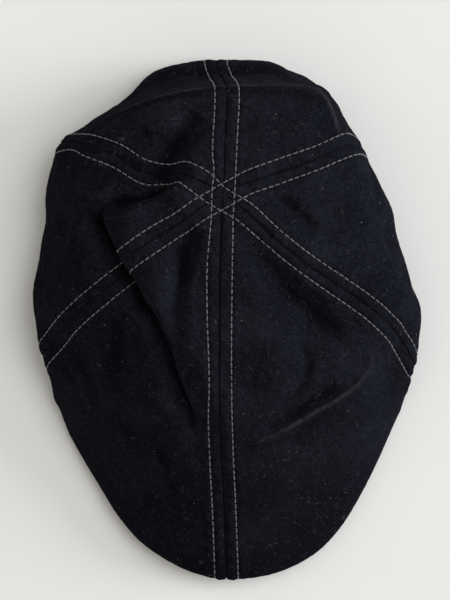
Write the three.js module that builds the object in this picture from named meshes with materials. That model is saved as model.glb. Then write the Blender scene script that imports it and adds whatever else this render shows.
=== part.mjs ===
// A six-panel duckbill flat cap: black cotton panels with double topstitching, a lining, a sweatband,
// and a stiff visor board held between the two front panels and an under-cover.
// Millimetres. +Z is up, -Y is the front of the visor, +X is the wearer's left.
// The origin is the centre of the cap's footprint, on the surface that the cap rests on.
import * as THREE from "three";

const { degToRad, lerp, smoothstep } = THREE.MathUtils;

// Overall size
const LENGTH = 278;
const WIDTH = 200;
const HEIGHT = 66;

// Head opening: an oval of 57 cm, behind the visor
const OPENING_WIDTH = 166;
const OPENING_LENGTH = 196;
const OPENING_CENTRE_Y = 35.5;

// Thicknesses of the cloths and of the board, and the gaps between layers and along seams
const SHELL = 1.4;
const LINING = 0.6;
const BAND = 1.2;
const BOARD = 2;
const UNDER_COVER = 1;
const LABEL = 0.6;
const GAP = 0.5;
const SEAM_GAP = 0.25;

// A place round the cap is a station: 0 is the visor's tip, 1 the visor's corner, 2 the back side
// seam, 3 the middle of the back, and 4 to 6 the same on the other half. A seam runs up each station.
const VISOR_CORNER = degToRad(-33);
const BACK_SIDE_SEAM = degToRad(33);
const CORNER_START = 0.8;

// Visor: the height of its arch, where the arch meets the surface, and the stations it spans
const VISOR_ARCH = 9;
const ARCH_HALF_WIDTH = 91;
const ARCH_FRONT_Y = -55;
const ARCH_BACK_Y = 15;
const VISOR_REACH = 0.9;

// The outline seen from above, from the visor's tip round the wearer's left to the middle of the
// back, three points to a station, as shares of half the width and half the length.
const OUTLINE = [
  [0, -1], [0.4, -0.9], [0.715, -0.62],
  [0.96, -0.23], [1, 0.04], [0.96, 0.34],
  [0.79, 0.655], [0.58, 0.83], [0.32, 0.955],
  [0, 1],
];

// The crown's section at the front, the side and the back. Reaches are shares of the way from the
// opening's centre to its edge, or from the shoulder to the outline.
const APEX_Y = 65;
const INNER_HEIGHT = [57, 61, 64];
const SHOULDER_REACH = [0.97, 1.01, 0.82];
const SHOULDER_HEIGHT = [44, 48, 57];
const WALL_REACH = [0.5, 0.66, 0.55];
const WALL_HEIGHT = [27, 37, 36];
const BULGE_HEIGHT = [20, 22, 12];

// The sweatband's height, and how far its top leans in, as a share of the opening
const BAND_HEIGHT = 30;
const BAND_LEAN = [0.1, 0.01, 0.1];

// The lining hangs from just above the edge, stands up behind the band, then makes a dome.
const LINING_FOOT = 2;
const LINING_WALL = 33;
const LINING_WALL_SHARE = 1 / 3;
const LINING_SHOULDER = [0.35, 0.14, 0.25];
const LINING_SHOULDER_HEIGHT = [49, 45, 52];
const LINING_DROP = 8;

// Topstitching
const STITCH_OFFSET = 6.2;
const THREAD_RADIUS = 0.35;
const THREAD_SIDES = 5;
const THREAD_STEPS = 22;
const STITCH_TOP = 0.07;
const STITCH_END = 0.97;
const STITCH_END_ON_VISOR = 0.76;

// Grids of the sheets
const PANEL_GRID = [10, 14];
const LINING_GRID = [6, 9];
const VISOR_GRID = [18, 4];
const SHEET_TOP = 0.012;

const cap = new THREE.Group();

const cotton = new THREE.MeshStandardMaterial({ color: 0x17181d, roughness: 0.92, metalness: 0 });
const satin = new THREE.MeshStandardMaterial({ color: 0x101013, roughness: 0.5, metalness: 0 });
const twill = new THREE.MeshStandardMaterial({ color: 0x141418, roughness: 0.8, metalness: 0 });
const thread = new THREE.MeshStandardMaterial({ color: 0x85888c, roughness: 0.6, metalness: 0 });
const plastic = new THREE.MeshStandardMaterial({ color: 0xd8d8d4, roughness: 0.45, metalness: 0 });
const woven = new THREE.MeshStandardMaterial({ color: 0x9a9a98, roughness: 0.6, metalness: 0 });

function addPart(name, geometry, material) {
  const mesh = new THREE.Mesh(geometry, material);
  mesh.name = name;
  cap.add(mesh);
  return mesh;
}

// A part of the wearer's left half, and its mirror image on the right.
function addPair(name, geometry, material) {
  addPart(`${name}_left`, geometry, material);
  addPart(`${name}_right`, geometry, material).scale.x = -1;
}

// A box whose grid is laid out by place(u, v, w), each from 0 to 1: a curved sheet with a thickness.
function sheet([columns, rows], place) {
  const geometry = new THREE.BoxGeometry(1, 1, 1, columns, rows, 1).translate(0.5, 0.5, 0.5);
  const position = geometry.attributes.position;
  for (let i = 0; i < position.count; i++) {
    const point = place(position.getX(i), position.getY(i), position.getZ(i));
    position.setXYZ(i, point.x, point.y, point.z);
  }
  geometry.computeVertexNormals();
  return geometry;
}

// A value at a station, from its values at the front, the side and the back.
function around(station, [front, side, back]) {
  const ahead = Math.cos((Math.PI * station) / 3);
  const frontShare = Math.max(0, ahead) ** 2;
  const backShare = Math.max(0, -ahead) ** 2;
  return front * frontShare + back * backShare + side * (1 - frontShare - backShare);
}

// The other half of the cap mirrors the half from station 0 to 3.
function mirrored(station, point) {
  const turned = (station + 6) % 6;
  if (turned <= 3) return point(turned);
  const opposite = point(6 - turned);
  return opposite.setX(-opposite.x);
}

// Height of the edge that the visor and the front of the opening follow: an arch from side to side.
function archHeight(x, y) {
  const acrossArch = Math.max(0, 1 - (x / ARCH_HALF_WIDTH) ** 2);
  return VISOR_ARCH * acrossArch * (1 - smoothstep(y, ARCH_FRONT_Y, ARCH_BACK_Y));
}

// A point on the head opening's oval, grown by a margin.
function openingPoint(station, grow) {
  const angles = [-Math.PI / 2, VISOR_CORNER, BACK_SIDE_SEAM, Math.PI / 2];
  return mirrored(station, (turned) => {
    const from = Math.min(2, Math.floor(turned));
    const angle = lerp(angles[from], angles[from + 1], turned - from);
    const x = (OPENING_WIDTH / 2 + grow) * Math.cos(angle);
    const y = OPENING_CENTRE_Y + (OPENING_LENGTH / 2 + grow) * Math.sin(angle);
    return new THREE.Vector3(x, y, archHeight(x, y));
  });
}

// A point of the leaning wall inside the opening, which the band and the lining's foot follow.
function wallPoint(station, height, grow) {
  const point = openingPoint(station, grow);
  const lean = (around(station, BAND_LEAN) * height) / BAND_HEIGHT;
  const centre = new THREE.Vector3(0, OPENING_CENTRE_Y, point.z);
  point.lerp(centre, lean);
  return point.setZ(point.z + height);
}

// Crown

const outline = new THREE.CatmullRomCurve3(
  [...OUTLINE, ...OUTLINE.slice(1, -1).reverse().map(([x, y]) => [-x, y])]
    .map(([x, y]) => new THREE.Vector3((x * WIDTH) / 2, (y * LENGTH) / 2, 0)),
  true,
);

// 1 where the panels run to the visor's outer edge, and 0 where they end at the head opening.
function visorShare(station) {
  const fromFront = Math.min((station + 6) % 6, (6 - station) % 6);
  return 1 - smoothstep(fromFront, CORNER_START, 1);
}

// The crown's outer surface: from the apex over the shoulder and the bulge to the edge.
function crownProfile(station) {
  const onVisor = visorShare(station);
  const opening = openingPoint(station, LINING + BAND + SHELL + 2 * GAP).setZ(0);
  const centre = new THREE.Vector3(0, OPENING_CENTRE_Y, 0);
  const bulge = outline.getPoint(station / 6);
  const edge = opening.clone().lerp(bulge, onVisor);
  edge.z = archHeight(edge.x, edge.y);
  const lip = edge.z + SHELL + BOARD + UNDER_COVER + GAP;
  bulge.z = lerp(around(station, BULGE_HEIGHT), lip, onVisor);
  const shoulder = centre.lerp(opening, around(station, SHOULDER_REACH));
  shoulder.z = around(station, SHOULDER_HEIGHT);
  const wall = shoulder.clone().lerp(bulge, around(station, WALL_REACH));
  wall.z = around(station, WALL_HEIGHT);
  const apex = new THREE.Vector3(0, APEX_Y, HEIGHT);
  const inner = apex.clone().lerp(shoulder, 0.5);
  inner.z = around(station, INNER_HEIGHT);
  return new THREE.CatmullRomCurve3([apex, inner, shoulder, wall, bulge, edge], false, "centripetal");
}

function crownPoint(station, t) {
  return mirrored(station, (turned) => crownProfile(turned).getPoint(t));
}

const STEP = 0.004;

function slopeAcross(surface, station, t) {
  return surface(station + STEP, t).sub(surface(station - STEP, t)).divideScalar(2 * STEP);
}

function crownOffset(station, t, distance) {
  const outer = crownPoint(station, Math.min(1, t + STEP));
  const along = outer.sub(crownPoint(station, Math.max(0, t - STEP)));
  const normal = along.cross(slopeAcross(crownPoint, station, t)).normalize();
  return crownPoint(station, t).addScaledVector(normal, distance);
}

// The station of a point of a panel, a share of the way from one seam to the next.
function betweenSeams(surface, seam, share, t) {
  const margin = SEAM_GAP / slopeAcross(surface, seam + 0.5, t).length();
  return lerp(seam + margin, seam + 1 - margin, share);
}

// One of the six panels. Its lower edge is level, so that the cap stands on it.
function crownPanel(seam) {
  return sheet(PANEL_GRID, (u, v, w) => {
    const t = lerp(1, SHEET_TOP, v);
    const station = betweenSeams(crownPoint, seam, u, t);
    const point = crownOffset(station, t, (w - 1) * SHELL);
    return v === 0 ? point.setZ(crownPoint(station, 1).z) : point;
  });
}

// One row of topstitching, laid on a panel beside a seam.
function stitchRow(seam, side) {
  const points = [];
  const end = visorShare(seam + side * 0.1) > 0 ? STITCH_END_ON_VISOR : STITCH_END;
  for (let i = 0; i <= THREAD_STEPS; i++) {
    const t = lerp(end, STITCH_TOP, i / THREAD_STEPS);
    const station = seam + (side * STITCH_OFFSET) / slopeAcross(crownPoint, seam + side * 0.1, t).length();
    points.push(crownOffset(station, t, THREAD_RADIUS + GAP));
  }
  const section = new THREE.Shape();
  section.absarc(0, 0, THREAD_RADIUS, 0, 2 * Math.PI);
  return new THREE.ExtrudeGeometry(new THREE.Shape(section.getSpacedPoints(THREAD_SIDES).slice(0, -1)), {
    extrudePath: new THREE.CatmullRomCurve3(points, false, "centripetal"),
    steps: THREAD_STEPS,
    bevelEnabled: false,
  });
}

// Lining and sweatband

const focus = new THREE.Vector3(0, OPENING_CENTRE_Y, 0);
const liningGrow = BAND + GAP + LINING;

function liningPoint(station, t) {
  const rise = Math.min(1, (1 - t) / LINING_WALL_SHARE);
  const wall = wallPoint(station, lerp(LINING_FOOT, LINING_WALL, rise), liningGrow);
  if (rise < 1) return wall;
  const shoulder = openingPoint(station, liningGrow).lerp(focus, around(station, LINING_SHOULDER));
  shoulder.z = around(station, LINING_SHOULDER_HEIGHT);
  const apex = new THREE.Vector3(0, APEX_Y, HEIGHT - LINING_DROP);
  const dome = new THREE.CatmullRomCurve3([apex, shoulder, wall], false, "centripetal");
  return dome.getPoint(t / (1 - LINING_WALL_SHARE));
}

function liningPanel(seam) {
  const thickness = LINING / (OPENING_WIDTH / 2);
  return sheet(LINING_GRID, (u, v, w) => {
    const t = Math.max(SHEET_TOP, 1 - v);
    const station = betweenSeams(liningPoint, seam, u, t);
    return liningPoint(station, t).lerp(focus, (1 - w) * thickness);
  });
}

// The sweatband is one strip, joined at the back.
function sweatband() {
  const join = 0.005;
  return sheet([6 * LINING_GRID[0], 2], (u, v, w) => {
    const station = 3 + lerp(join, 6 - join, u);
    return wallPoint(station, v * BAND_HEIGHT, w * BAND);
  });
}

// A blank size label, sewn over the sweatband's join.
function sizeLabel() {
  const halfWidth = 0.2;
  const [bottom, top] = [8, 24];
  return sheet([4, 1], (u, v, w) => {
    const station = 3 + lerp(-halfWidth, halfWidth, u);
    return wallPoint(station, lerp(bottom, top, v), -GAP - (1 - w) * LABEL);
  });
}

// Visor

// A layer of the visor, from its outer edge to the head opening.
function visorLayer(bottom, thickness) {
  return sheet(VISOR_GRID, (u, v, w) => {
    const station = lerp(-VISOR_REACH, VISOR_REACH, u);
    const inside = openingPoint(station, liningGrow + GAP);
    const point = crownPoint(station, 1);
    const inset = (SHELL + 3 * GAP) / inside.distanceTo(point);
    point.lerp(inside, lerp(inset, 1, v));
    return point.setZ(archHeight(point.x, point.y) + bottom + w * thickness);
  });
}

["front", "side", "back"].forEach((name, seam) => {
  addPair(`crown_panel_${name}`, crownPanel(seam), cotton);
  addPair(`lining_panel_${name}`, liningPanel(seam), satin);
  addPair(`topstitch_${name}_fore`, stitchRow(seam, 1), thread);
  addPair(`topstitch_${name}_aft`, stitchRow(seam + 1, -1), thread);
});

addPart("visor_under_cover", visorLayer(0, UNDER_COVER), cotton);
addPart("visor_board", visorLayer(UNDER_COVER + GAP, BOARD), plastic);
addPart("sweatband", sweatband(), twill);
addPart("size_label", sizeLabel(), woven);

export default cap;
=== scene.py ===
"""The looks of a soft six-panel duckbill cap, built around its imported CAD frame.

Sizes are in millimetres of the cap as modelled, and MM turns them into the frame's metres.
+X is the wearer's left, -Y is the front of the visor, +Z is up.
A place round the cap is a station: 0 is the front seam, then 1 to 5 are the other seams, going round by the
wearer's left, and 6 is the front again. A share down the cap runs from 0 at the apex to 1 at the edge.
"""
import math
from collections import namedtuple

import bmesh
import bpy
import numpy as np
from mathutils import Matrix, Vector
from mathutils.bvhtree import BVHTree
from mathutils.kdtree import KDTree


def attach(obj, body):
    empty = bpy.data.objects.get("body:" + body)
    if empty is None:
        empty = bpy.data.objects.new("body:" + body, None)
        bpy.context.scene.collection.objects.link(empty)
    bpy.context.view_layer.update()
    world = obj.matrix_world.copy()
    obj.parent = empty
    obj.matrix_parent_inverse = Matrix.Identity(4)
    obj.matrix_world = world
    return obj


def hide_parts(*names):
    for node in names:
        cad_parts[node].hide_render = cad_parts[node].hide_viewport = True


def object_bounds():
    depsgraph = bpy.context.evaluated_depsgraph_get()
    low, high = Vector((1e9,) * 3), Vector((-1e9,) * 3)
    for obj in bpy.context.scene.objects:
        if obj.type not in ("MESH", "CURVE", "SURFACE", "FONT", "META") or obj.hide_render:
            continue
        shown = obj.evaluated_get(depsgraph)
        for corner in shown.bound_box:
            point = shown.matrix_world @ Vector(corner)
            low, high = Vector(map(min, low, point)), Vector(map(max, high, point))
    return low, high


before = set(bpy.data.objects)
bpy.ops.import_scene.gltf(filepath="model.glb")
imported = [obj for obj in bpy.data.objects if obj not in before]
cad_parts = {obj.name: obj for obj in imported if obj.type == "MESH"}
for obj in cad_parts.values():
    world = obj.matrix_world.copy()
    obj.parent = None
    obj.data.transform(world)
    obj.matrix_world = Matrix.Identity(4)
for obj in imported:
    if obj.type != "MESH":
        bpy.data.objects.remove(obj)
cad_box = [list(corner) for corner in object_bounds()]

CAP_WIDTH = 200.2
MM = (cad_box[1][0] - cad_box[0][0]) / CAP_WIDTH
SEAMS = 6
BACK_STATION = SEAMS // 2
rng = np.random.default_rng(7)


# ---------- camera, floor and light

CAMERA_HEIGHT = 1200
CAMERA_Y = 9
VIEW_HEIGHT = 318
VIEW_PLANE = 20
SENSOR = 36


def add_object(name, data):
    added = bpy.data.objects.new(name, data)
    bpy.context.scene.collection.objects.link(added)
    return added


def add_camera():
    data = bpy.data.cameras.new("camera")
    data.sensor_fit = "VERTICAL"
    data.sensor_height = SENSOR
    data.lens = SENSOR * (CAMERA_HEIGHT - VIEW_PLANE) / VIEW_HEIGHT
    camera = add_object("camera", data)
    camera.location = (0, CAMERA_Y * MM, CAMERA_HEIGHT * MM)
    bpy.context.scene.camera = camera


def add_area_light(name, place, target, size, power, colour):
    data = bpy.data.lights.new(name, "AREA")
    data.shape = "DISK"
    data.size = size
    data.energy = power
    data.color = colour
    light = add_object(name, data)
    light.location = place
    light.visible_camera = False
    light.rotation_euler = (Vector(target) - Vector(place)).to_track_quat("-Z", "Y").to_euler()


def add_world(strength):
    world = bpy.data.worlds.new("studio")
    world.use_nodes = True
    background = world.node_tree.nodes["Background"]
    background.inputs["Color"].default_value = (1.0, 0.958, 0.88, 1)
    background.inputs["Strength"].default_value = strength
    bpy.context.scene.world = world
    bpy.context.scene.view_settings.view_transform = "Standard"


# ---------- small mathematics


def smoothstep(low, high, x):
    t = np.clip((x - low) / (high - low), 0, 1)
    return t * t * (3 - 2 * t)


def bell(x, width):
    return np.exp(-((x / width) ** 2))


def swelling(away, height, place, width):
    """A rounded swelling or hollow, by the distance from a line."""
    return height * bell(away - place, width)


def lerp(a, b, share):
    return a + (b - a) * share


def catmull_rom(a, b, c, d, t):
    """The smooth curve between b and c at a share t, with a and d as the points before and after."""
    return b + 0.5 * t * (c - a + t * (2 * a - 5 * b + 4 * c - d + t * (3 * b - a - 3 * c + d)))


def spline(knots, at, cyclic=False):
    """A smooth curve through evenly spaced knots, at positions counted in knots."""
    count = len(knots)
    first = np.floor(at).astype(int)
    if not cyclic:
        first = np.clip(first, 0, count - 2)
    near = [first + k for k in (-1, 0, 1, 2)]
    near = [k % count if cyclic else np.clip(k, 0, count - 1) for k in near]
    return catmull_rom(*(knots[k] for k in near), (at - first)[..., None])


def lengths_along(points, axis=0):
    """The length along rows of points, from 0."""
    steps = np.linalg.norm(np.diff(points, axis=axis), axis=-1)
    start = np.zeros_like(np.take(steps, [0], axis=axis))
    return np.concatenate([start, np.cumsum(steps, axis=axis)], axis=axis)


def read_curve(points, along, at):
    """The points of a curve at some lengths, where along is the length at each point that it is given by."""
    return np.stack([np.interp(at, along, values) for values in points.T], axis=1)


def eased(line, times):
    """A line averaged with its neighbours again and again, all but its ends."""
    for _ in range(times):
        line[1:-1] = (line[:-2] + 2 * line[1:-1] + line[2:]) / 4
    return line


def smooth_line(points, count):
    """A curve through a few points, as count points evenly spaced along it."""
    knots = np.array(points, float)
    fine = spline(knots, np.linspace(0, len(knots) - 1, 20 * len(knots)))
    along = lengths_along(fine)
    return read_curve(fine, along, np.linspace(0, along[-1], count))


def beside_line(plan, points, margin, pieces=30):
    """For plan points near a line drawn through points: which they are, their distance to the left of it,
    their share along it, and its direction there."""
    line = smooth_line(points, pieces + 1)
    low, high = line.min(axis=0) - margin, line.max(axis=0) + margin
    near = np.flatnonzero(((plan > low) & (plan < high)).all(axis=1))
    spots = plan[near]
    best = np.full(len(spots), np.inf)
    side, share, heading = np.zeros(len(spots)), np.zeros(len(spots)), np.zeros((len(spots), 2))
    for k, (start, step) in enumerate(zip(line[:-1], np.diff(line, axis=0))):
        long = np.linalg.norm(step)
        off = spots - start
        along = np.clip(off @ step / long**2, 0, 1)
        away = np.linalg.norm(off - along[:, None] * step, axis=1)
        closer = away < best
        best[closer] = away[closer]
        side[closer] = (np.sign(step[0] * off[:, 1] - step[1] * off[:, 0]) * away)[closer]
        share[closer] = ((k + along) / pieces)[closer]
        heading[closer] = step / long
    return near, side, share, heading


def undulation(points, wavelength, seed, waves=14):
    """A smooth random field between about -1 and 1, made of waves in random directions."""
    source = np.random.default_rng(seed)
    field = np.zeros(points.shape[:-1])
    for _ in range(waves):
        direction = source.normal(size=3)
        direction /= np.linalg.norm(direction)
        stretch = source.uniform(0.7, 1.4)
        phase = source.uniform(0, 2 * math.pi)
        field += np.sin(points @ direction * 2 * math.pi * stretch / wavelength + phase)
    return field * math.sqrt(2 / waves) / 1.6


def ripples(points, *kinds):
    """Random swellings of some kinds added up, each with a height, a wavelength and a seed."""
    return sum(height * undulation(points, wavelength, seed) for height, wavelength, seed in kinds)


# ---------- the crown's surface

OPENING_CENTRE_Y = 35.5
OPENING_HALF = (83, 98)
VISOR_CORNER = math.radians(-33)
BACK_SEAM = math.radians(33)
CORNER_START = 0.8
ARCH = 9
ARCH_HALF_WIDTH = 91
ARCH_Y = (-55, 15)
RIM_GROW = 4.2
VISOR_EDGE = 4.6
CURVE_STEPS = 40

APEX = (-1.5, 63.5, 65.5)

# Twelve sections, at each seam and at the middle of each panel, from the front round by the wearer's left.
# Each goes from the apex over these points: inner crown, shoulder and wall.
SECTIONS = [
    [(-2.9, -2, 60), (-2.3, -62, 45), (-0.6, -101, 28)],
    [(25, 6, 61), (50, -46, 42), (63, -73, 25)],
    [(37.5, 30.5, 62), (77.5, 3, 49), (91, -10, 36)],
    [(42, 50, 63), (80, 38, 51), (90, 35.5, 38)],
    [(31, 76, 64), (62.5, 89, 53), (69.5, 89.5, 37)],
    [(22, 92, 65), (46, 113.5, 57.5), (48, 120, 38)],
    [(0, 91, 65), (1, 117, 58), (-2, 127, 36)],
    [(-20, 88, 63), (-38.5, 110, 56), (-45, 116, 36)],
    [(-36, 76, 61), (-66.5, 87.5, 51), (-79, 90.5, 38)],
    [(-41, 50, 61), (-84, 38, 48), (-92, 38, 37)],
    [(-38, 37, 61), (-75, 5, 49), (-88, -9.5, 36)],
    [(-26, 6, 60), (-49, -46, 41), (-59, -73, 25)],
]
# The widest line round the cap, eight points to a station.
BULGE = [
    (0.8, -139.3, 13), (25.5, -136.8, 9), (46.8, -127, 8), (61.2, -113, 8),
    (71.3, -97.5, 8), (80.8, -79.3, 10), (89.5, -60, 13), (98.3, -41, 17),
    (101.5, -26.8, 20), (102.2, -10, 21), (101.4, 6, 21), (98, 20, 22),
    (94.5, 33, 22), (90, 48.5, 21), (84.5, 64.5, 20), (79, 78, 19),
    (73.5, 88, 18), (69, 97.5, 17), (63, 106, 16), (56.5, 115.5, 15),
    (48, 123.5, 14), (37.5, 130, 13), (26, 134.8, 13), (12, 138, 13),
    (-4.8, 138.5, 13), (-18, 136, 13), (-30, 133, 13), (-40.5, 127.5, 13),
    (-50, 119.5, 14), (-59, 112.5, 15), (-68.5, 105, 17), (-78, 98.7, 19),
    (-86.5, 91.5, 20), (-91, 79.5, 21), (-94, 66, 21), (-96, 51, 21),
    (-98.5, 37, 22), (-100, 24, 22), (-100.8, 10, 22), (-99.5, -6, 21),
    (-96, -21, 20), (-91, -41, 17), (-85, -59, 13), (-77.5, -73.5, 10),
    (-67.3, -90, 8), (-56, -107.5, 8), (-42, -122.3, 8), (-20.5, -134.8, 9),
]

MASTER_COLUMNS = 480
MASTER_ROWS = 201


def arch_height(x, y):
    """Height of the edge round the visor and the front of the opening."""
    across = np.maximum(0, 1 - (x / ARCH_HALF_WIDTH) ** 2)
    return ARCH * across * (1 - smoothstep(*ARCH_Y, y))


def from_front(station):
    """How many stations a place is from the front, by the shorter way round."""
    turned = np.mod(station, SEAMS)
    return np.minimum(turned, SEAMS - turned)


def opening_angle(station):
    seam_angles = [-math.pi / 2, VISOR_CORNER, BACK_SEAM, math.pi / 2]
    angle = np.interp(from_front(station), range(BACK_STATION + 1), seam_angles)
    return np.where(np.mod(station, SEAMS) <= BACK_STATION, angle, math.pi - angle)


def opening_point(station, grow):
    angle = opening_angle(station)
    x = (OPENING_HALF[0] + grow) * np.cos(angle)
    y = OPENING_CENTRE_Y + (OPENING_HALF[1] + grow) * np.sin(angle)
    return np.stack([x, y, arch_height(x, y)], axis=-1)


def visor_share(station):
    """1 where the panels run to the visor's outer edge, 0 where they end at the head opening."""
    return 1 - smoothstep(CORNER_START, 1, from_front(station))


def hermite(knots):
    """Smooth curves through the knots of many sections at once, shape (sections, knots, 3)."""
    chord = np.sqrt(np.linalg.norm(np.diff(knots, axis=1), axis=-1))[..., None]
    slope = np.diff(knots, axis=1) / chord
    tangent = np.empty_like(knots)
    before, after = chord[:, :-1], chord[:, 1:]
    tangent[:, 1:-1] = (slope[:, :-1] * after + slope[:, 1:] * before) / (after + before)
    tangent[:, 0] = slope[:, 0] * (1, 1, 0)
    tangent[:, -1] = slope[:, -1]
    t = np.linspace(0, 1, CURVE_STEPS, endpoint=False)[:, None]
    pieces = []
    for k in range(knots.shape[1] - 1):
        a, b, h = knots[:, k, None], knots[:, k + 1, None], chord[:, k, None]
        u, v = tangent[:, k, None] * h, tangent[:, k + 1, None] * h
        pieces.append(a + t * (u + t * (3 * (b - a) - 2 * u - v + t * (2 * (a - b) + u + v))))
    pieces.append(knots[:, -1:])
    return np.concatenate(pieces, axis=1)


def make_master():
    """The crown's surface before any fold, as a grid of stations and shares down the cap."""
    stations = np.arange(MASTER_COLUMNS) * SEAMS / MASTER_COLUMNS
    net = np.array(SECTIONS, float).reshape(len(SECTIONS), -1)
    rings = spline(net, stations * len(SECTIONS) / SEAMS, cyclic=True).reshape(MASTER_COLUMNS, -1, 3)
    bulge = spline(np.array(BULGE, float), stations * len(BULGE) / SEAMS, cyclic=True)
    rings = np.concatenate([rings, bulge[:, None]], axis=1)
    rim = opening_point(stations, RIM_GROW)
    rim[:, 2] = 0
    on_visor = visor_share(stations)[:, None]
    edge = lerp(rim, rings[:, -1], on_visor)
    edge[:, 2] = arch_height(edge[:, 0], edge[:, 1])
    rings[:, -1, 2] = lerp(rings[:, -1, 2], edge[:, 2] + VISOR_EDGE, on_visor[:, 0])
    apex = np.broadcast_to(np.array(APEX, float), (MASTER_COLUMNS, 1, 3))
    curves = hermite(np.concatenate([apex, rings, edge[:, None]], axis=1))
    shares = np.linspace(0, 1, MASTER_ROWS)
    lengths = lengths_along(curves, axis=1)
    return np.stack([read_curve(curve, along, shares * along[-1]) for curve, along in zip(curves, lengths)])


master = make_master()


def crown_base(station, share):
    """The crown's surface before any fold, at stations and shares of one shape."""
    column = np.mod(station, SEAMS) * MASTER_COLUMNS / SEAMS
    row = np.clip(share, 0, 1) * (MASTER_ROWS - 1)
    first_column = np.floor(column).astype(int)
    first_row = np.minimum(np.floor(row).astype(int), MASTER_ROWS - 2)
    down = (row - first_row)[..., None]
    across = []
    for k in (-1, 0, 1, 2):
        at = (first_column + k) % MASTER_COLUMNS
        across.append(lerp(master[at, first_row], master[at, first_row + 1], down))
    return catmull_rom(*across, (column - first_column)[..., None])


# Folds of the resting cloth, seen from above: height of the fold, its half width, and the line it follows.
FOLDS = [
    (1.8, 5.0, [(-88, 61), (-72, 63), (-56, 66), (-40, 70)]),
    (-5.2, 4.4, [(-15, 46), (-20, 33), (-22, 20), (-22.5, 8), (-21.5, -4), (-20, -14)]),
    (-2.9, 5.6, [(7, 44), (21.5, 28), (38, 9), (55, -6.5), (66, -22)]),
    (-3.0, 9.0, [(16, 28), (35, 6), (46, -12), (50, -32)]),
    (-2.4, 4.0, [(28, 62), (38, 51.5), (47, 43)]),
    (-2.0, 3.5, [(37, -10), (43, -24), (38, -38), (28, -44)]),
    (1.9, 1.7, [(12, -67), (30, -59), (48, -48.5), (63.5, -39.5), (74, -29), (80, -17)]),
    (-1.8, 4.0, [(20, -58), (40, -46), (58, -35)]),
    (-1.8, 4.6, [(-37, -66), (-30, -80), (-25, -96)]),
    (-2.0, 5.5, [(-60, 2), (-58, -18), (-61, -38)]),
    (-4.0, 5.5, [(-14, 104), (-20, 95), (-28, 84), (-36, 72)]),
    (-2.6, 5.0, [(-50, 104), (-60, 96), (-72, 84)]),
    (1.3, 3.0, [(-93, 50), (-94, 30), (-93, 8), (-91, -6)]),
    (2.0, 1.4, [(-66, 102), (-46, 110), (-25.7, 115.4), (-6.2, 118.2), (28, 119.8), (52, 119.5)]),
    (-4.2, 6.0, [(-62, 115), (-43, 121.5), (-22, 126), (0, 128), (28, 129), (48, 126)]),
    (1.2, 1.8, [(47, 121), (52.5, 112), (56.5, 102), (59, 93)]),
]
# Swellings and hollows, seen from above: height, centre and radii.
BUMPS = [
    (2.2, (28, -28), (11, 15)),
    (1.5, (-70, 40), (16, 20)),
    (-1.6, (-72, 10), (12, 18)),
    (-8.0, (-79, -38), (21, 32)),
    (3.0, (-40, -25), (15, 30)),
    (3.0, (-72, 88), (13, 13)),
    (1.6, (60, 62), (16, 14)),
    (1.2, (20, 100), (16, 10)),
]
SHARP_CREASE = 2
# Half width of the pale line along sharp creases: a painted highlight, partly rubbing.
CREASE_HIGHLIGHT_WIDTH = 1.1
FOLD_ENDS = 0.6
# The shares down the cap over which its top ends and its side walls begin and end.
TOP_END = (0.7, 0.86)
WALL_START, WALL_END = (0.5, 0.75), (0.93, 1)
STIFF_FRONT = 0.75
STIFF_FRONT_Y = (-70, -20)
WALL_WAVES, WALL_RIPPLES, WALL_STRETCH = (1.5, 44, 11), (0.6, 19, 12), (1, 1, 0.35)
TOP_WAVES = [(0.8, 44, 3), (0.45, 20, 4)]
LAP_WOBBLE = (0.5, 24, 5)
# Small pulls of the cloth along its own surface, seen from above: centre, radii and move.
PULLS = [
    ((-42.5, 80), (9, 9), (-1.2, -2.4)),
    ((-21, 79), (9, 9), (0, 2.0)),
    ((-30.5, 69.5), (8, 8), (0.4, 3.8)),
    ((-7, 73), (7, 7), (1.0, 1.8)),
    ((14, 59), (14, 14), (0.5, 0.9)),
    ((-80, 85), (6, 6), (0.5, 2.3)),
    ((-38, 45), (14, 14), (-0.9, 1.3)),
    ((47, 88), (14, 14), (0.4, -1.2)),
    ((93, -22), (12, 12), (-0.6, -1.2)),
    ((-11, -33), (6, 22), (2.3, 0)),
    ((-9, 24), (6, 18), (-0.9, 0)),
]

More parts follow.
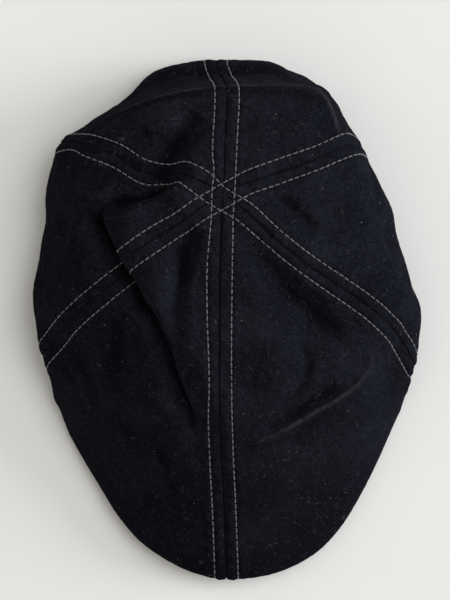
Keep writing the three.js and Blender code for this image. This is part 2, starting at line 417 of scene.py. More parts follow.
# Where the cloth laps over itself: on the left of the line, going along it, it moves across by shift and back
# by slide, and rises. On the right it does the opposite. Reach is how far each side is drawn along, and the
# shares of the line in fade are where it has come in and where it starts to go out. Valley and puff are a dip
# on the right and a swelling on the left: height, distance from the line and half width.
Lap = namedtuple("Lap", "shift slide rise sharpness reach fade valley puff line")
LAPS = [
    Lap(
        shift=5.0, slide=2.0, rise=2.6, sharpness=2.0,
        reach=(13, 34), fade=(0.08, 0.6), valley=(-4.6, -6, 6.5), puff=(4.0, 12, 8.5),
        line=[(-63, 62), (-60, 48), (-55.3, 38.5), (-50.5, 30), (-44.5, 20.5), (-39, 10),
              (-33, 1), (-28, -11.5), (-24, -23.5), (-19.5, -37), (-15.5, -54), (-12, -72)],
    ),
    Lap(
        shift=0.6, slide=2.3, rise=0.9, sharpness=5.5,
        reach=(16, 18), fade=(0.3, 0.7), valley=(-1.4, -6.5, 6.5), puff=(0.8, 8, 7),
        line=[(-18, 100), (-20, 90), (-23, 80), (-26.5, 71), (-30, 62), (-33, 52)],
    ),
    Lap(
        shift=2.2, slide=0.4, rise=2.0, sharpness=2.4,
        reach=(9, 14), fade=(0.3, 0.7), valley=(-2.4, -6.5, 6.5), puff=(0.6, 8, 7),
        line=[(-15, 70), (-21, 68.8), (-26.5, 67), (-31, 65), (-36, 62.5), (-43.5, 59), (-51, 53), (-58, 46)],
    ),
    Lap(
        shift=0.7, slide=0, rise=1.7, sharpness=1.6,
        reach=(7, 9), fade=(0.2, 0.8), valley=(-2.4, -4.5, 4), puff=(0.3, 8, 7),
        line=[(52, 119.5), (28, 119.8), (-6.2, 118.2), (-25.7, 115.4), (-46, 110), (-66, 102)],
    ),
]


def lap_over(flat, plan, on_top, lap):
    near, away, along, heading = beside_line(plan, lap.line, 2 * max(lap.reach))
    away = away + ripples(flat[near], LAP_WOBBLE)
    fade = smoothstep(0, lap.fade[0], along) * (1 - smoothstep(lap.fade[1], 1, along)) * on_top[near]
    drawn = fade * bell(away, np.where(away > 0, lap.reach[0], lap.reach[1]))
    turn = np.tanh(away / lap.sharpness)
    to_left = np.stack([-heading[:, 1], heading[:, 0]], axis=1)
    flat[near, :2] -= (turn * drawn)[:, None] * (lap.shift * to_left + lap.slide * heading)
    flat[near, 2] += lap.rise * turn * drawn
    for shape in (lap.valley, lap.puff):
        flat[near, 2] += swelling(away, *shape) * fade


def slackened(points, share):
    """Points of the crown with the slack of its side walls and its small pulls."""
    flat, share = points.reshape(-1, 3).copy(), share.reshape(-1)
    outward = (flat[:, :2] - (0, OPENING_CENTRE_Y)) / OPENING_HALF
    outward /= np.maximum(np.linalg.norm(outward, axis=1, keepdims=True), 1e-6)
    on_wall = smoothstep(*WALL_START, share) * (1 - smoothstep(*WALL_END, share))
    on_wall *= 1 - STIFF_FRONT * (1 - smoothstep(*STIFF_FRONT_Y, flat[:, 1]))
    wave = ripples(flat * WALL_STRETCH, WALL_WAVES) + ripples(flat, WALL_RIPPLES)
    flat[:, :2] += outward * (wave * on_wall)[:, None]
    for centre, radii, move in PULLS:
        held = bell(np.linalg.norm((flat[:, :2] - centre) / radii, axis=1), 1)
        flat[:, :2] += held[:, None] * move
    return flat


def on_fold(plan, line, width, bell_width):
    """Which plan points are near a fold, and how much they lie on it."""
    near, away, along, _ = beside_line(plan, line, 3 * width)
    return near, bell(away, bell_width) * np.sin(math.pi * along) ** FOLD_ENDS


def shaped(points, share):
    """Points of the crown with its slack and its folds."""
    flat = slackened(points, share)
    plan = flat[:, :2].copy()
    on_top = 1 - smoothstep(*TOP_END, share.reshape(-1))
    for height, width, line in FOLDS:
        near, level = on_fold(plan, line, width, width)
        flat[near, 2] += height * level * on_top[near]
    for height, centre, radii in BUMPS:
        flat[:, 2] += height * bell(np.linalg.norm((plan - centre) / radii, axis=1), 1) * on_top
    for lap in LAPS:
        lap_over(flat, plan, on_top, lap)
    flat[:, 2] += ripples(flat, *TOP_WAVES) * on_top
    flat[:, 2] = np.maximum(flat[:, 2], 0)
    return flat.reshape(points.shape)


def rubbed(points, share):
    """How much each point of the crown lies on a sharp crease, which the cotton paints pale: a painted
    highlight where the crest would catch the light, and partly where dust and rubbing make it pale.
    """
    plan = slackened(points, share)[:, :2]
    most = np.zeros(len(plan))
    for _, width, line in FOLDS:
        if width < SHARP_CREASE:
            near, level = on_fold(plan, line, width, CREASE_HIGHLIGHT_WIDTH)
            most[near] = np.maximum(most[near], level)
    return most


def grid_normals(points):
    """Outward normals of a grid whose rows run down the cap and whose columns run round it."""
    down = np.gradient(points, axis=0)
    across = np.gradient(points, axis=1)
    normal = np.cross(down, across)
    long = np.linalg.norm(normal, axis=-1, keepdims=True)
    return normal / np.maximum(long, 1e-9)


def blurred(grid, times):
    """A grid averaged with its neighbours again and again."""
    for _ in range(times):
        grid = eased((np.roll(grid, 1, axis=1) + 2 * grid + np.roll(grid, -1, axis=1)) / 4, 1)
    return grid


# ---------- topstitching, as lines on the surface

STITCH_OFFSET = 6.2
STITCH_PITCH = 3.5
STITCH_SHARE = 0.86
THREAD = 0.74
BRIDGE = 15
SETTLE = 0.1
LINE_STEP = 0.6
EDGE_SHARE = 0.985
GUIDE_ROWS = 240
GUIDE_COLUMNS = 120
STANDOUT_BLUR = 50


def nearest_tree(points):
    tree = KDTree(len(points))
    for k, point in enumerate(points):
        tree.insert(point, k)
    tree.balance()
    return tree


guide_shares = np.linspace(0.001, 1, GUIDE_ROWS)
guide_stations = np.linspace(0, SEAMS, SEAMS * GUIDE_COLUMNS + 1)
guide_grid = np.meshgrid(guide_stations, guide_shares)
guide = crown_base(*guide_grid)
guide_round = lengths_along(guide, axis=1)
guide_shaped = shaped(guide, guide_grid[1])
guide_normals = grid_normals(guide_shaped)
# How far the shaped cloth stands out of its blurred self, which the cotton's finish uses to paint shade into
# the valleys.
guide_wear = ((guide_shaped - blurred(guide_shaped, STANDOUT_BLUR)) * guide_normals).sum(axis=-1)
guide_normals = guide_normals.reshape(-1, 3)
guide_tree = nearest_tree(guide.reshape(-1, 3))


def station_beside(seam, offset):
    """For each guide share, the station of a place on the cloth at a distance round from a seam."""
    stations = []
    for along in guide_round:
        at = np.interp(seam, guide_stations, along) + offset
        stations.append(np.interp(at % along[-1], along, guide_stations))
    return np.array(stations)


def evenly(points, step):
    along = lengths_along(points[:, :3])
    return read_curve(points, along, np.linspace(0, along[-1], max(2, int(round(along[-1] / step)))))


def stitch_line(seam, side):
    """A row of stitches on the unfolded crown, across the apex from one seam's side to the opposite seam's.
    Each point is x, y, z and the share down the cap."""
    halves = []
    for end, turn in ((seam, side), (seam + BACK_STATION, -side)):
        points = crown_base(station_beside(end, turn * STITCH_OFFSET), guide_shares)
        away = np.linalg.norm(points[:, :2] - APEX[:2], axis=1)
        kept = (away > BRIDGE) & (guide_shares <= EDGE_SHARE)
        halves.append(np.column_stack([points, guide_shares])[kept])
    line = eased(evenly(np.concatenate([halves[0][::-1], halves[1]]), LINE_STEP), 12)
    for point in line[np.linalg.norm(line[:, :2] - APEX[:2], axis=1) < BRIDGE + 3]:
        point[2] = guide_tree.find((point[0], point[1], APEX[2]))[0].z
    return line


line_keys = [(seam, side) for seam in range(BACK_STATION) for side in (1, -1)]
flat_lines = {key: stitch_line(*key) for key in line_keys}
stitch_lines = {key: shaped(line[:, :3], line[:, 3]) for key, line in flat_lines.items()}
stitch_tree = nearest_tree(np.concatenate([line[:, :3] for line in flat_lines.values()]))
stitch_along = np.concatenate([lengths_along(line) for line in stitch_lines.values()])


# ---------- meshes


def add_mesh(name, points, faces, material):
    mesh = bpy.data.meshes.new(name)
    mesh.from_pydata((np.asarray(points).reshape(-1, 3) * MM).tolist(), [], faces)
    mesh.polygons.foreach_set("use_smooth", [True] * len(mesh.polygons))
    mesh.materials.append(material)
    return add_object(name, mesh)


def grid_faces(rows, columns, closed=False):
    faces = []
    for i in range(rows - 1):
        for j in range(columns if closed else columns - 1):
            k = (j + 1) % columns
            faces.append((i * columns + j, (i + 1) * columns + j, (i + 1) * columns + k, i * columns + k))
    return faces


def set_grid_map(piece, across, down):
    """Keeps the cloth's own directions, in millimetres, as the map that the weave follows."""
    layer = piece.data.uv_layers.new(name="cloth")
    corner = np.zeros(len(piece.data.loops), np.int32)
    piece.data.loops.foreach_get("vertex_index", corner)
    both = np.stack([np.asarray(across).reshape(-1), np.asarray(down).reshape(-1)], axis=1)
    layer.data.foreach_set("uv", both[corner].reshape(-1).astype(np.float32))


def thicken(piece, thickness):
    """Gives a sheet its thickness, inwards."""
    solid = piece.modifiers.new("thickness", "SOLIDIFY")
    solid.thickness = thickness * MM
    solid.offset = -1
    solid.use_even_offset = False
    graph = bpy.context.evaluated_depsgraph_get()
    finished = bpy.data.meshes.new_from_object(piece.evaluated_get(graph))
    piece.modifiers.clear()
    piece.data = finished
    for vertex in finished.vertices:
        vertex.co.z = max(vertex.co.z, 0)


def tidy_normals(piece):
    """Turns every face outwards."""
    shape = bmesh.new()
    shape.from_mesh(piece.data)
    bmesh.ops.recalc_face_normals(shape, faces=shape.faces)
    shape.to_mesh(piece.data)
    shape.free()


def make_sheet(name, points, cloth_map, thickness, pattern, material, **marks):
    """A sewn sheet from a grid of points, with its map, marks at its points and thickness. Its pattern is not
    used.
    """
    piece = add_mesh(name, points, grid_faces(*points.shape[:2]), material)
    set_grid_map(piece, *cloth_map)
    for mark, values in marks.items():
        attribute = piece.data.attributes.new(mark, "FLOAT", "POINT")
        attribute.data.foreach_set("value", values.reshape(-1).astype(np.float32))
    thicken(piece, thickness)
    return piece


# ---------- crown panels

CLOTH = 1.3
PANEL_ROWS = 190
PANEL_TOP = 0.002
EDGE_COLUMNS = [0, 0.2, 0.45, 0.8, 1.3, 2.0, 3.0, 4.1, 5.0, 5.6, 6.0, 6.3, 6.7, 7.3, 8.2, 9.4]
EDGE_PART = 0.42
MIDDLE_STEP = 1.3
SEAM_DEPTH = (1.0, 0.6, 0.55, 0.8, 0.55, 0.6)
# The relief beside a seam and beside a row of stitches: height, distance from the line and half width.
DITCH, DITCH_SLOPE = (1, 0, 0.35), (0.14, 0, 1.3)
STITCH_DIP, STITCH_RIDGE = (0.4, 0, 0.8), (0.3, 2.6, 1.7)
STITCH_DIP_VARIES = 0.3
DOUBLE_CLOTH, DOUBLE_CLOTH_ENDS = 0.3, (5.6, 9.6)
PUCKER = 0.2
PUCKER_WAVES = [(1, 9, 21), (0.6, 5, 22)]
CLOTH_WAVES = (0.07, 4.5, 31)
NARROW = 7
BESIDE_SEAM = 14
FAR = 99.0


def panel_grid(seam):
    """A panel's grid of stations and shares, whose columns keep their distance from the nearer seam, with
    each point's distance from the first seam and the panel's width there."""
    shares = np.linspace(PANEL_TOP, 1, PANEL_ROWS)
    row_of = np.interp(shares, guide_shares, np.arange(GUIDE_ROWS))
    columns = slice(seam * GUIDE_COLUMNS, (seam + 1) * GUIDE_COLUMNS + 1)
    along = guide_round[:, columns] - guide_round[:, columns.start, None]
    edge = np.array(EDGE_COLUMNS)
    middle = int((along[:, -1].max() - 2 * edge[-1]) / MIDDLE_STEP)
    stations, places = [], []
    for row in row_of:
        lower = min(int(row), GUIDE_ROWS - 2)
        lengths = lerp(along[lower], along[lower + 1], row - lower)
        width = lengths[-1]
        own = edge * min(1, EDGE_PART * width / edge[-1])
        inside = np.linspace(own[-1], width - own[-1], middle + 2)[1:-1]
        place = np.concatenate([own, inside, width - own[::-1]])
        stations.append(np.interp(place, lengths, guide_stations[columns]))
        places.append(place)
    places = np.array(places)
    return np.array(stations), np.repeat(shares[:, None], places.shape[1], axis=1), places, places[:, -1:]


def seam_relief(seam, base, points, place, width):
    """How far the cloth stands up or sinks, at the seams and along the rows of stitches."""
    to_seam = np.minimum(place, width - place)
    depth = np.where(place < width / 2, SEAM_DEPTH[seam], SEAM_DEPTH[(seam + 1) % SEAMS])
    ditch = swelling(to_seam, *DITCH) + swelling(to_seam, *DITCH_SLOPE)
    relief = -depth * ditch * np.clip(width / NARROW, 0, 1)
    relief += DOUBLE_CLOTH * (1 - smoothstep(*DOUBLE_CLOTH_ENDS, to_seam))
    flat = base.reshape(-1, 3)
    beside_apex = np.linalg.norm(flat[:, :2] - APEX[:2], axis=1) < 2 * BRIDGE
    away, along = np.full(len(flat), FAR), np.zeros(len(flat))
    for k in np.flatnonzero((to_seam.reshape(-1) < BESIDE_SEAM) | beside_apex):
        _, found, away[k] = stitch_tree.find(flat[k])
        along[k] = stitch_along[found]
    away, along = away.reshape(to_seam.shape), along.reshape(to_seam.shape)
    dip = 1 + STITCH_DIP_VARIES * np.cos(2 * math.pi * along / STITCH_PITCH)
    relief -= swelling(away, *STITCH_DIP) * dip
    relief += swelling(away, *STITCH_RIDGE)
    near_stitches = bell(away, 5) + 0.5 * bell(to_seam, 6)
    return relief + PUCKER * ripples(points, *PUCKER_WAVES) * near_stitches


def relative_height(stations, share):
    """How far each point stands out of the cloth around it, high on folds and low in valleys."""
    column = (stations * GUIDE_COLUMNS).astype(int)
    row = np.interp(share, guide_shares, np.arange(GUIDE_ROWS)).astype(int)
    return guide_wear[row, column]


def make_panel(name, seam, material):
    stations, share, place, width = panel_grid(seam)
    base = crown_base(stations, share)
    points = shaped(base, share)
    relief = seam_relief(seam, base, points, place, width) + ripples(points, CLOTH_WAVES)
    hem = 1 - smoothstep(EDGE_SHARE, 1, share)
    points = points + grid_normals(points) * (relief * hem)[..., None]
    points[..., 2] = np.maximum(points[..., 2], 0)
    cloth_map = place - width / 2, lengths_along(base, axis=0)
    # The cloth's height out of its surroundings, from which the finish paints shade into the valleys.
    wear = relative_height(stations, share)
    return make_sheet(name, points, cloth_map, CLOTH, base, material, wear=wear, rubbed=rubbed(base, share))


# ---------- lining, sweatband, label and under-cover

BAND_HEIGHT = 30
BAND_LEAN = (0.1, 0.01, 0.1)
BAND_ROW = 2.4
LABEL_BOTTOM, LABEL_TOP = 8, 24
LABEL_REACH = 0.2
LABEL_ROW = 1.3
BAND_JOIN = 0.005
BAND_EDGE, BAND_GROOVE = (0.45, 0.5), (0.3, BAND_ROW, 0.6)
LABEL_EDGE, LABEL_GROOVE = (0.25, 0.4), (0.12, LABEL_ROW, 0.4)
LABEL_FOLD, LABEL_FOLD_EDGE = 0.28, (2.2, 2.9)
BAND = 1.2
LINING = 0.6
LABEL = 0.6
UNDER_COVER = 1.0
GAP = 0.5
LINING_GROW = BAND + GAP + LINING
LINING_APEX = (0, 64, 54)
LINING_SHOULDER = (0.35, 0.14, 0.25)
LINING_SHOULDER_HEIGHT = (45, 42, 48)
LINING_WALL = (33, 18, 2)
LINING_CLEARANCE = 3.2
LINING_WAVES = [(1.1, 30, 41), (0.5, 12, 42)]
GATHER_WAVES, GATHER_STRETCH = (0.5, 7, 43), (1, 1, 0.2)
SEAM_RIDGE = (0.9, 0, 1.3)
BAND_WAVES = (0.35, 26, 51)
LINING_TRIM = 0.003
LINING_TOP, LINING_SLACK_END, LINING_CAPPED = 0.012, (0.5, 0.72), 0.85
GATHER_WIDTH = 6
NARROW_GORE = 9
CEILING_POINTS = 16
LINING_ROWS = 90
LINING_COLUMNS = 44
VISOR_REACH = 0.9
COVER_GAP = 0.3


def around(station, values):
    """A value at a station, from its values at the front, the side and the back."""
    front, side, back = values
    ahead = np.cos(math.pi * station / BACK_STATION)
    front_share, back_share = np.maximum(0, ahead) ** 2, np.maximum(0, -ahead) ** 2
    return front * front_share + back * back_share + side * (1 - front_share - back_share)


def towards_centre(points, share):
    moved = points.copy()
    moved[..., :2] = lerp(points[..., :2], np.array([0, OPENING_CENTRE_Y]), share[..., None])
    return moved


def wall_point(station, height, grow):
    """A point of the leaning wall inside the opening, which the sweatband and the lining's foot follow."""
    point = towards_centre(opening_point(station, grow), around(station, BAND_LEAN) * height / BAND_HEIGHT)
    point[..., 2] += height
    return point


def plan_ceiling():
    """The crown's top surface from above, to find how high the lining may stand."""
    on_top = guide_grid[1] < 0.7
    points = shaped(guide, guide_grid[1])[on_top][::3]
    return points, nearest_tree(points * (1, 1, 0))


def make_lining(name, seam, material, ceiling):
    stations = np.linspace(seam + LINING_TRIM, seam + 1 - LINING_TRIM, LINING_COLUMNS)
    shoulder = towards_centre(opening_point(stations, LINING_GROW), around(stations, LINING_SHOULDER))
    shoulder[:, 2] = around(stations, LINING_SHOULDER_HEIGHT)
    apex = np.broadcast_to(np.array(LINING_APEX, float), shoulder.shape)
    wall = [wall_point(stations, height, LINING_GROW) for height in LINING_WALL]
    curves = hermite(np.stack([apex, shoulder, *wall], axis=1))
    shares = lerp(LINING_TOP, 1, np.linspace(0, 1, LINING_ROWS))
    pattern = np.empty((LINING_ROWS, LINING_COLUMNS, 3))
    for j, (curve, along) in enumerate(zip(curves, lengths_along(curves, axis=1))):
        pattern[:, j] = read_curve(curve, along, shares * along[-1])
    width = lengths_along(pattern, axis=1)
    to_seam = np.minimum(width, width[:, -1:] - width)
    slack = 1 - smoothstep(*LINING_SLACK_END, shares)[:, None]
    relief = ripples(pattern, *LINING_WAVES) * slack
    relief += ripples(pattern * GATHER_STRETCH, GATHER_WAVES) * bell(to_seam, GATHER_WIDTH) * slack
    relief += swelling(to_seam, *SEAM_RIDGE) * np.clip(width[:, -1:] / NARROW_GORE, 0, 1)
    points = pattern + grid_normals(pattern) * relief[..., None]
    top, tree = ceiling
    for point in points[:np.searchsorted(shares, LINING_CAPPED)].reshape(-1, 3):
        beside = tree.find_n((point[0], point[1], 0), CEILING_POINTS)
        lowest = min(top[found][2] for _, found, _ in beside)
        point[2] = min(point[2], lowest - CLOTH - LINING_CLEARANCE)
    return make_sheet(name, points, (width, lengths_along(points, axis=0)), LINING, pattern, material)


def strip_heights(height, hem):
    """Heights across a strip, with more of them by its edges."""
    edge = np.array([0, 0.12, 0.35, 0.7, 1.1, 1.6, 2.2, 2.9]) * hem
    inside = np.linspace(edge[-1], height - edge[-1], int(height / 2))[1:-1]
    return np.concatenate([edge, inside, height - edge[::-1]])[::-1]


def make_strip(name, stations, heights, grow, thickness, relief, material):
    """A strip of tape round the inside of the opening. Relief is how far its inner face stands in, by
    distance along the strip and by height."""
    station, height = np.meshgrid(stations, heights)
    outside = wall_point(station, height, grow)
    along = lengths_along(outside, axis=1)
    bulge = relief(along, height)
    inside = wall_point(station, height, grow - thickness - bulge)
    rows, columns = station.shape
    faces = grid_faces(rows, columns)
    count = rows * columns
    faces += [tuple(count + k for k in reversed(face)) for face in faces]
    long_edges = range(columns), range(count - columns, count)
    for edge in (*long_edges, range(0, count, columns), range(columns - 1, count, columns)):
        faces += [(a, b, count + b, count + a) for a, b in zip(edge[:-1], edge[1:])]
    piece = add_mesh(name, np.concatenate([outside.reshape(-1, 3), inside.reshape(-1, 3)]), faces, material)
    set_grid_map(piece, np.concatenate([along.reshape(-1)] * 2), np.concatenate([height.reshape(-1)] * 2))
    tidy_normals(piece)
    return piece


def rounded(from_edge, depth, reach):
    """How far a strip's face falls back at its edge."""
    return depth * (1 - smoothstep(0, reach, from_edge))


def make_sweatband(name, material):
    def relief(along, height):
        from_edge = np.minimum(height, BAND_HEIGHT - height)
        soft = ripples(np.stack([along, height, 0 * along], axis=-1), BAND_WAVES)
        groove = swelling(from_edge, *BAND_GROOVE)
        return soft * smoothstep(0, 3, from_edge) - groove - rounded(from_edge, *BAND_EDGE)
    stations = BACK_STATION + np.linspace(BAND_JOIN, SEAMS - BAND_JOIN, 420)
    return make_strip(name, stations, strip_heights(BAND_HEIGHT, 1), BAND, BAND, relief, material)


def make_label(name, material):
    def relief(along, height):
        from_end = np.minimum(along, along.max() - along)
        folded = LABEL_FOLD * (1 - smoothstep(*LABEL_FOLD_EDGE, from_end))
        from_edge = np.minimum(from_end, np.minimum(height - LABEL_BOTTOM, LABEL_TOP - height))
        return folded - rounded(from_edge, *LABEL_EDGE) - swelling(from_edge, *LABEL_GROOVE)
    heights = LABEL_BOTTOM + strip_heights(LABEL_TOP - LABEL_BOTTOM, 0.8)
    stations = BACK_STATION + np.linspace(-LABEL_REACH, LABEL_REACH, 90)
    return make_strip(name, stations, heights, -GAP, LABEL, relief, material)


def make_under_cover(name, material):
    """The cloth under the visor, from the head opening to near the visor's edge, over the arch."""
    station, share = np.meshgrid(np.linspace(-VISOR_REACH, VISOR_REACH, 150), np.linspace(0, 1, 60))
    inside = opening_point(station, LINING_GROW + GAP)
    outside = crown_base(station, np.ones_like(station))
    reach = np.linalg.norm(outside[..., :2] - inside[..., :2], axis=-1)
    at = (share * (1 - (CLOTH + COVER_GAP) / np.maximum(reach, 1)))[..., None]
    points = lerp(inside, outside, at)
    points[..., 2] = arch_height(points[..., 0], points[..., 1]) + UNDER_COVER
    return make_sheet(name, points, (points[..., 0], points[..., 1]), UNDER_COVER, points, material)


# ---------- stitches

STITCH_SIDES = 7
STITCH_RINGS = 9
# A stitch dives at its ends, leans, tapers and twists, by parts of its thread's thickness.
STITCH_LENGTHS = (0.95, 1.05)
DIVE, DIVE_POWER = 0.85, 5
LEAN = 0.16
TAPER, TAPER_POWER = 0.35, 6
TWIST, PLY = 2.6 * math.pi, 0.16


def stitch_shapes(line, normals, pitch, thread, lift):
    """The points and faces of separate stitches along a line, each a twisted thread."""
    along = lengths_along(line)
    count = int(along[-1] / pitch)
    steps = np.linspace(-1, 1, STITCH_RINGS)
    angles = 2 * math.pi * np.arange(STITCH_SIDES) / STITCH_SIDES
    points, faces = [], []
    for k in range(count):
        middle = (k + 0.5) * along[-1] / count
        reach = steps * pitch * STITCH_SHARE * rng.uniform(*STITCH_LENGTHS) / 2
        centre = read_curve(line, along, middle + reach)
        ahead = np.gradient(centre, axis=0)
        ahead /= np.linalg.norm(ahead, axis=1, keepdims=True)
        across = np.cross(ahead, normals[min(int(np.searchsorted(along, middle)), len(normals) - 1)])
        across /= np.linalg.norm(across, axis=1, keepdims=True)
        up = np.cross(across, ahead)
        height = thread * (lift - DIVE * np.abs(steps) ** DIVE_POWER)
        lean = thread * rng.uniform(-LEAN, LEAN) * steps
        centre = centre + up * height[:, None] + across * lean[:, None]
        radius = 0.5 * thread * (1 - TAPER * np.abs(steps) ** TAPER_POWER)
        first = k * STITCH_RINGS * STITCH_SIDES
        for ring, (spot, side, above) in enumerate(zip(centre, across, up)):
            oval = radius[ring] * (1 + PLY * np.cos(2 * (angles - TWIST * steps[ring] - k)))
            sideways, upwards = np.outer(oval * np.cos(angles), side), np.outer(oval * np.sin(angles), above)
            points.append(spot + sideways + upwards)
        rings = grid_faces(STITCH_RINGS, STITCH_SIDES, closed=True)
        faces += [tuple(first + v for v in reversed(face)) for face in rings]
        last = first + (STITCH_RINGS - 1) * STITCH_SIDES
        faces.append(tuple(range(first, first + STITCH_SIDES)))
        faces.append(tuple(reversed(range(last, last + STITCH_SIDES))))
    return np.concatenate(points), faces


def make_stitches(name, rows, pitch, thread, lift, material):
    """One piece made of rows of stitches, each row a line and its normals."""
    points, faces, count = [], [], 0
    for line, normals in rows:
        row_points, row_faces = stitch_shapes(line, normals, pitch, thread, lift)
        faces += [tuple(count + v for v in face) for face in row_faces]
        points.append(row_points)
        count += len(row_points)
    piece = add_mesh(name, np.concatenate(points), faces, material)
    tidy_normals(piece)
    return piece


def faces_tree(pieces):
    """The faces of some pieces, to find what lies under a point."""
    points, faces = [], []
    for piece in pieces:
        first = len(points)
        points += [vertex.co.copy() for vertex in piece.data.vertices]
        faces += [[first + k for k in face.vertices] for face in piece.data.polygons]
    return BVHTree.FromPolygons(points, faces)


def settled(line, cloth):
    """A row of stitches, lifted out of the cloth where it would sink in beside the apex."""
    sunk = np.zeros(len(line))
    for k in np.flatnonzero(np.linalg.norm(line[:, :2] - APEX[:2], axis=1) < BRIDGE):
        spot = cloth.ray_cast((*line[k, :2] * MM, 1), (0, 0, -1))[0]
        sunk[k] = max(0, spot.z / MM - SETTLE - line[k, 2])
    return line + eased(sunk, 6)[:, None] * (0, 0, 1)


def crown_row(key, cloth):
    normals = np.array([guide_normals[guide_tree.find(point[:3])[1]] for point in flat_lines[key]])
    return settled(stitch_lines[key], cloth), eased(normals, 8)


def wall_row(stations, heights, grow):
    """A row of stitches on the inside of the wall."""
    line = wall_point(stations, heights, grow)
    inward = np.array([0, OPENING_CENTRE_Y, 0]) - line * (1, 1, 0)
    return line, inward / np.linalg.norm(inward, axis=1, keepdims=True)


def band_rows():
    stations = BACK_STATION + np.linspace(0.02, 5.98, 900)
    return [wall_row(stations, height, 0.3) for height in (BAND_ROW, BAND_HEIGHT - BAND_ROW)]


def label_rows():
    """A rectangle of stitches just inside the label's edge."""
    reach = LABEL_REACH - 0.016
    low, high = LABEL_BOTTOM + LABEL_ROW, LABEL_TOP - LABEL_ROW
    corners = [(-reach, low), (reach, low), (reach, high), (-reach, high), (-reach, low)]
    rows = []
    for start, end in zip(corners[:-1], corners[1:]):
        stations, heights = (np.linspace(start[k], end[k], 60) for k in (0, 1))
        rows.append(wall_row(BACK_STATION + stations, heights, -GAP - LABEL))
    return rows


# ---------- materials


class Finish:
    """A material made of nodes, with short calls that add to it and return their result.
    Sizes are in millimetres, and stops are pairs of a position and a grey level or colour."""

    def __init__(self, name, **constants):
        self.material = bpy.data.materials.new(name)
        self.material.use_nodes = True
        self.nodes = self.material.node_tree.nodes
        self.links = self.material.node_tree.links
        self.shader = self.nodes["Principled BSDF"]
        for socket, value in constants.items():
            self.shader.inputs[socket.replace("_", " ")].default_value = value
        coordinates = self.nodes.new("ShaderNodeTexCoord")
        self.place = coordinates.outputs["Object"]
        self.cloth_map = coordinates.outputs["UV"]

    def feed(self, value, socket):
        if isinstance(value, bpy.types.NodeSocket):
            self.links.new(value, socket)
        else:
            socket.default_value = (*value, 1) if isinstance(value, tuple) else value

    def add(self, kind, inputs, **settings):
        """A new node, with its settings made before its inputs are linked or set."""
        node = self.nodes.new("ShaderNode" + kind)
        for name, value in settings.items():
            setattr(node, name, value)
        for name, value in inputs.items():
            self.feed(value, node.inputs[name])
        return node

    def noise(self, size, detail=2, roughness=0.5, seed=0):
        """Smooth noise with features of a size."""
        inputs = {"W": seed, "Scale": 1 / (size * MM), "Detail": detail, "Roughness": roughness}
        return self.add("TexNoise", {**inputs, "Vector": self.place}, noise_dimensions="4D").outputs["Fac"]

    def specks(self, spacing, radius):
        """Small round dots with a mean spacing."""
        cells = self.add("TexVoronoi", {"Scale": 1 / (spacing * MM), "Vector": self.place})
        edge = radius / spacing
        return self.steps(cells.outputs["Distance"], [(0.6 * edge, 1), (edge, 0)])

    def ribs(self, pitch, direction, distortion=0.0):
        """Parallel ribs on the cloth's own map."""
        turns = 10 * math.sqrt(2) if direction == "DIAGONAL" else 20
        inputs = {"Scale": 2 * math.pi / (turns * pitch), "Distortion": distortion, "Vector": self.cloth_map}
        return self.add("TexWave", inputs, wave_type="BANDS", bands_direction=direction).outputs["Fac"]

    def steps(self, value, stops):
        """A ramp from value, through stops."""
        node = self.add("ValToRGB", {"Fac": value})
        elements = node.color_ramp.elements
        while len(elements) < len(stops):
            elements.new(0.5)
        for element, (position, colour) in zip(elements, stops):
            element.position = position
            element.color = (*colour, 1) if isinstance(colour, tuple) else (colour, colour, colour, 1)
        return node.outputs["Color"]

    def mix(self, share, first, second):
        return self.add("Mix", {0: share, 6: first, 7: second}, data_type="RGBA").outputs[2]

    def calculate(self, operation, *values):
        return self.add("Math", dict(enumerate(values)), operation=operation).outputs[0]

    def marks(self, name):
        """The marks left on the mesh's points under a name."""
        return self.add("Attribute", {}, attribute_name=name).outputs["Fac"]

    def scaled_steps(self, value, whole, stops, unit=1):
        """A ramp over a value that runs from minus half of whole to half of it."""
        share = self.calculate("MULTIPLY_ADD", value, 1 / (whole * unit), 0.5)
        return self.steps(share, [(0.5 + at / whole, level) for at, level in stops])

    def wear(self, stops):
        """A ramp over how far the cloth stands out, used to paint shade into the valleys."""
        return self.scaled_steps(self.marks("wear"), 4, stops)

    def towards_back(self, stops):
        """A ramp over the place between the visor's front edge and the back."""
        return self.scaled_steps(self.add("SeparateXYZ", {0: self.place}).outputs["Y"], 300, stops, MM)

    def facing(self, direction, stops):
        """A ramp over how squarely the surface faces a direction, up to 1."""
        normal = self.nodes.new("ShaderNodeNewGeometry").outputs["Normal"]
        along = self.add("VectorMath", {0: normal, 1: direction}, operation="DOT_PRODUCT")
        return self.steps(along.outputs["Value"], stops)

    def hairs(self, spacing, width, seed):
        """Short fine stray fibres: bits of the wavy borders between cells of a mean size."""
        wave = self.add("TexNoise", {"Scale": 2.2 / (spacing * MM), "Detail": 0, "Vector": self.place})
        inputs = {0: wave.outputs["Color"], 1: [0.5 * spacing * MM] * 3, 2: self.place}
        bent = self.add("VectorMath", inputs, operation="MULTIPLY_ADD").outputs[0]
        inputs = {"Scale": 1 / (spacing * MM), "Vector": bent}
        cells = self.add("TexVoronoi", inputs, feature="DISTANCE_TO_EDGE")
        edge = width / spacing
        line = self.steps(cells.outputs["Distance"], [(0.4 * edge, 1), (edge, 0)])
        bits = self.steps(self.noise(0.3 * spacing, 1, seed=seed), [(0.6, 0), (0.64, 1)])
        return self.calculate("MULTIPLY", line, bits)

    def bump(self, height, strength, depth, over=None):
        """Roughens the surface by a depth, over another bump if there is one."""
        inputs = {"Strength": strength, "Distance": depth * MM, "Height": height}
        if over is not None:
            inputs["Normal"] = over
        return self.add("Bump", inputs).outputs["Normal"]

    def finish(self, colour, normal, roughness=None):
        self.feed(colour, self.shader.inputs["Base Color"])
        self.feed(normal, self.shader.inputs["Normal"])
        if roughness is not None:
            self.feed(roughness, self.shader.inputs["Roughness"])
        return self.material


UP, FRONT_RIGHT, BACK = [0, 0, 1], [-0.7, -0.7, 0], [0, 1, 0]
